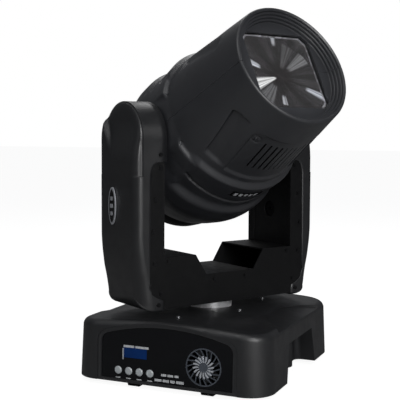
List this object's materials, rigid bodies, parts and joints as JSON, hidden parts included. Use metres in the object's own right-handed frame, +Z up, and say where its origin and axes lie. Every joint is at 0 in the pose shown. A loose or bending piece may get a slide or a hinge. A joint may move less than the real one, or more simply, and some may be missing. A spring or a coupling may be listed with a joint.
{
  "type": "moving head light",
  "caption": "Moving head stage light: round tilting head with a square mirrored light horn, in a two-arm yoke that pans on a rounded base with a control panel.",
  "frame": {"origin": "on the pan axis, at the centre of the clamp holes on the underside of the floor plate. The feet reach 13 mm lower", "axes": "+Z up along the pan axis, -Y towards the control panel, +X to the right of someone facing the panel"},
  "size_m": [0.4268, 0.3828, 0.597],
  "materials": {
    "shell_plastic": "soft-touch moulded shell",
    "panel_plastic": "polished black",
    "cap_plastic": "fine grain",
    "yoke_paint": "fine textured powder coat",
    "bare_steel": "zinc plated",
    "screw_black": "black zinc",
    "silver_plastic": "silver lacquer",
    "fan_plastic": "moulded",
    "grille_metal": "bright",
    "aluminium": "machined",
    "black_aluminium": "anodised black",
    "rubber": "moulded",
    "belt_rubber": "ribbed",
    "board_green": "solder mask",
    "display_face": "backlit window",
    "lens_glass": "clear",
    "mirror": "polished reflector",
    "emitter": "phosphor dome",
    "socket_plastic": "moulded"
  },
  "bodies": {
    "base": {"base_cover": "shell_plastic", "cover_screws": "screw_black", "base_plate": "bare_steel", "feet": "rubber", "foot_screws": "bare_steel", "front_panel": "panel_plastic", "display": "display_face", "control_board": "board_green", "fan_grille": "grille_metal", "base_fan_frame": "fan_plastic", "rear_panel": "panel_plastic", "power_inlet": "socket_plastic", "fuse_holder": "socket_plastic", "data_sockets": "socket_plastic", "power_supply": "bare_steel", "driver_board": "board_green", "pan_carrier": "bare_steel", "pan_bearing": "bare_steel", "pan_motor": "black_aluminium", "pan_belt": "belt_rubber"},
    "button_1": {"button_1": "silver_plastic"},
    "button_2": {"button_2": "silver_plastic"},
    "button_3": {"button_3": "silver_plastic"},
    "button_4": {"button_4": "silver_plastic"},
    "base_fan_rotor": {"base_fan_rotor": "fan_plastic"},
    "pan_motor_pulley": {"pan_motor_pulley": "aluminium"},
    "yoke": {"pan_tube": "aluminium", "pan_pulley": "aluminium", "yoke_frame": "yoke_paint", "yoke_screws": "screw_black", "right_arm_cover": "shell_plastic", "left_arm_cover": "shell_plastic", "arm_badges": "silver_plastic", "arm_flanges": "yoke_paint", "arm_cover_screws": "screw_black", "right_tilt_bearing": "bare_steel", "left_tilt_bearing": "bare_steel", "tilt_motor": "black_aluminium", "tilt_belt": "belt_rubber", "sensor_board": "board_green"},
    "tilt_motor_pulley": {"tilt_motor_pulley": "aluminium"},
    "head": {"upper_shell": "shell_plastic", "lower_shell": "shell_plastic", "upper_vent_panel": "cap_plastic", "lower_vent_panel": "cap_plastic", "front_lens": "lens_glass", "horn": "mirror", "vent_screws": "screw_black", "head_chassis": "aluminium", "right_trunnion": "bare_steel", "left_trunnion": "bare_steel", "tilt_pulley": "aluminium", "heat_sink": "black_aluminium", "emitter_board": "board_green", "light_source": "emitter", "rear_cap": "cap_plastic", "head_fan_frame": "fan_plastic"},
    "head_fan_rotor": {"head_fan_rotor": "fan_plastic"}
  },
  "joints": [
    {"name": "pan", "type": "hinge", "parent": "base", "child": "yoke", "pos_m": [0, 0, 0.1], "axis": [0, 0, 1], "range_deg": [-328.93, 211.07]},
    {"name": "tilt", "type": "hinge", "parent": "yoke", "child": "head", "pos_m": [0, 0, 0.3822], "axis": [0.5161, 0.8565, 0], "range_deg": [-196.65, 73.35]},
    {"name": "pan_motor_spin", "type": "hinge", "parent": "base", "child": "pan_motor_pulley", "pos_m": [0, 0.1, 0.05], "axis": [0, 0, 1], "range_deg": [-1315.72, 844.28]},
    {"name": "tilt_motor_spin", "type": "hinge", "parent": "yoke", "child": "tilt_motor_pulley", "pos_m": [0.08515, 0.14133, 0.257], "axis": [0.5161, 0.8565, 0], "range_deg": [-589.95, 220.05]},
    {"name": "base_fan_spin", "type": "hinge", "parent": "base", "child": "base_fan_rotor", "pos_m": [0.064, -0.16258, 0.03456], "axis": [0, 0.9994, -0.0349], "continuous": true},
    {"name": "head_fan_spin", "type": "hinge", "parent": "head", "child": "head_fan_rotor", "pos_m": [-0.11043, 0.06654, 0.31263], "axis": [0.7538, -0.4542, 0.4749], "continuous": true},
    {"name": "button_1_press", "type": "slide", "parent": "base", "child": "button_1", "axis": [0, 0.9994, -0.0349], "range_m": [0, 0.0008], "stiffness_N_per_m": 400},
    {"name": "button_2_press", "type": "slide", "parent": "base", "child": "button_2", "axis": [0, 0.9994, -0.0349], "range_m": [0, 0.0008], "stiffness_N_per_m": 400},
    {"name": "button_3_press", "type": "slide", "parent": "base", "child": "button_3", "axis": [0, 0.9994, -0.0349], "range_m": [0, 0.0008], "stiffness_N_per_m": 400},
    {"name": "button_4_press", "type": "slide", "parent": "base", "child": "button_4", "axis": [0, 0.9994, -0.0349], "range_m": [0, 0.0008], "stiffness_N_per_m": 400}
  ],
  "couplings": [
    {"joint": "pan_motor_spin", "follows": "pan", "ratio": 4},
    {"joint": "tilt_motor_spin", "follows": "tilt", "ratio": 3}
  ]
}
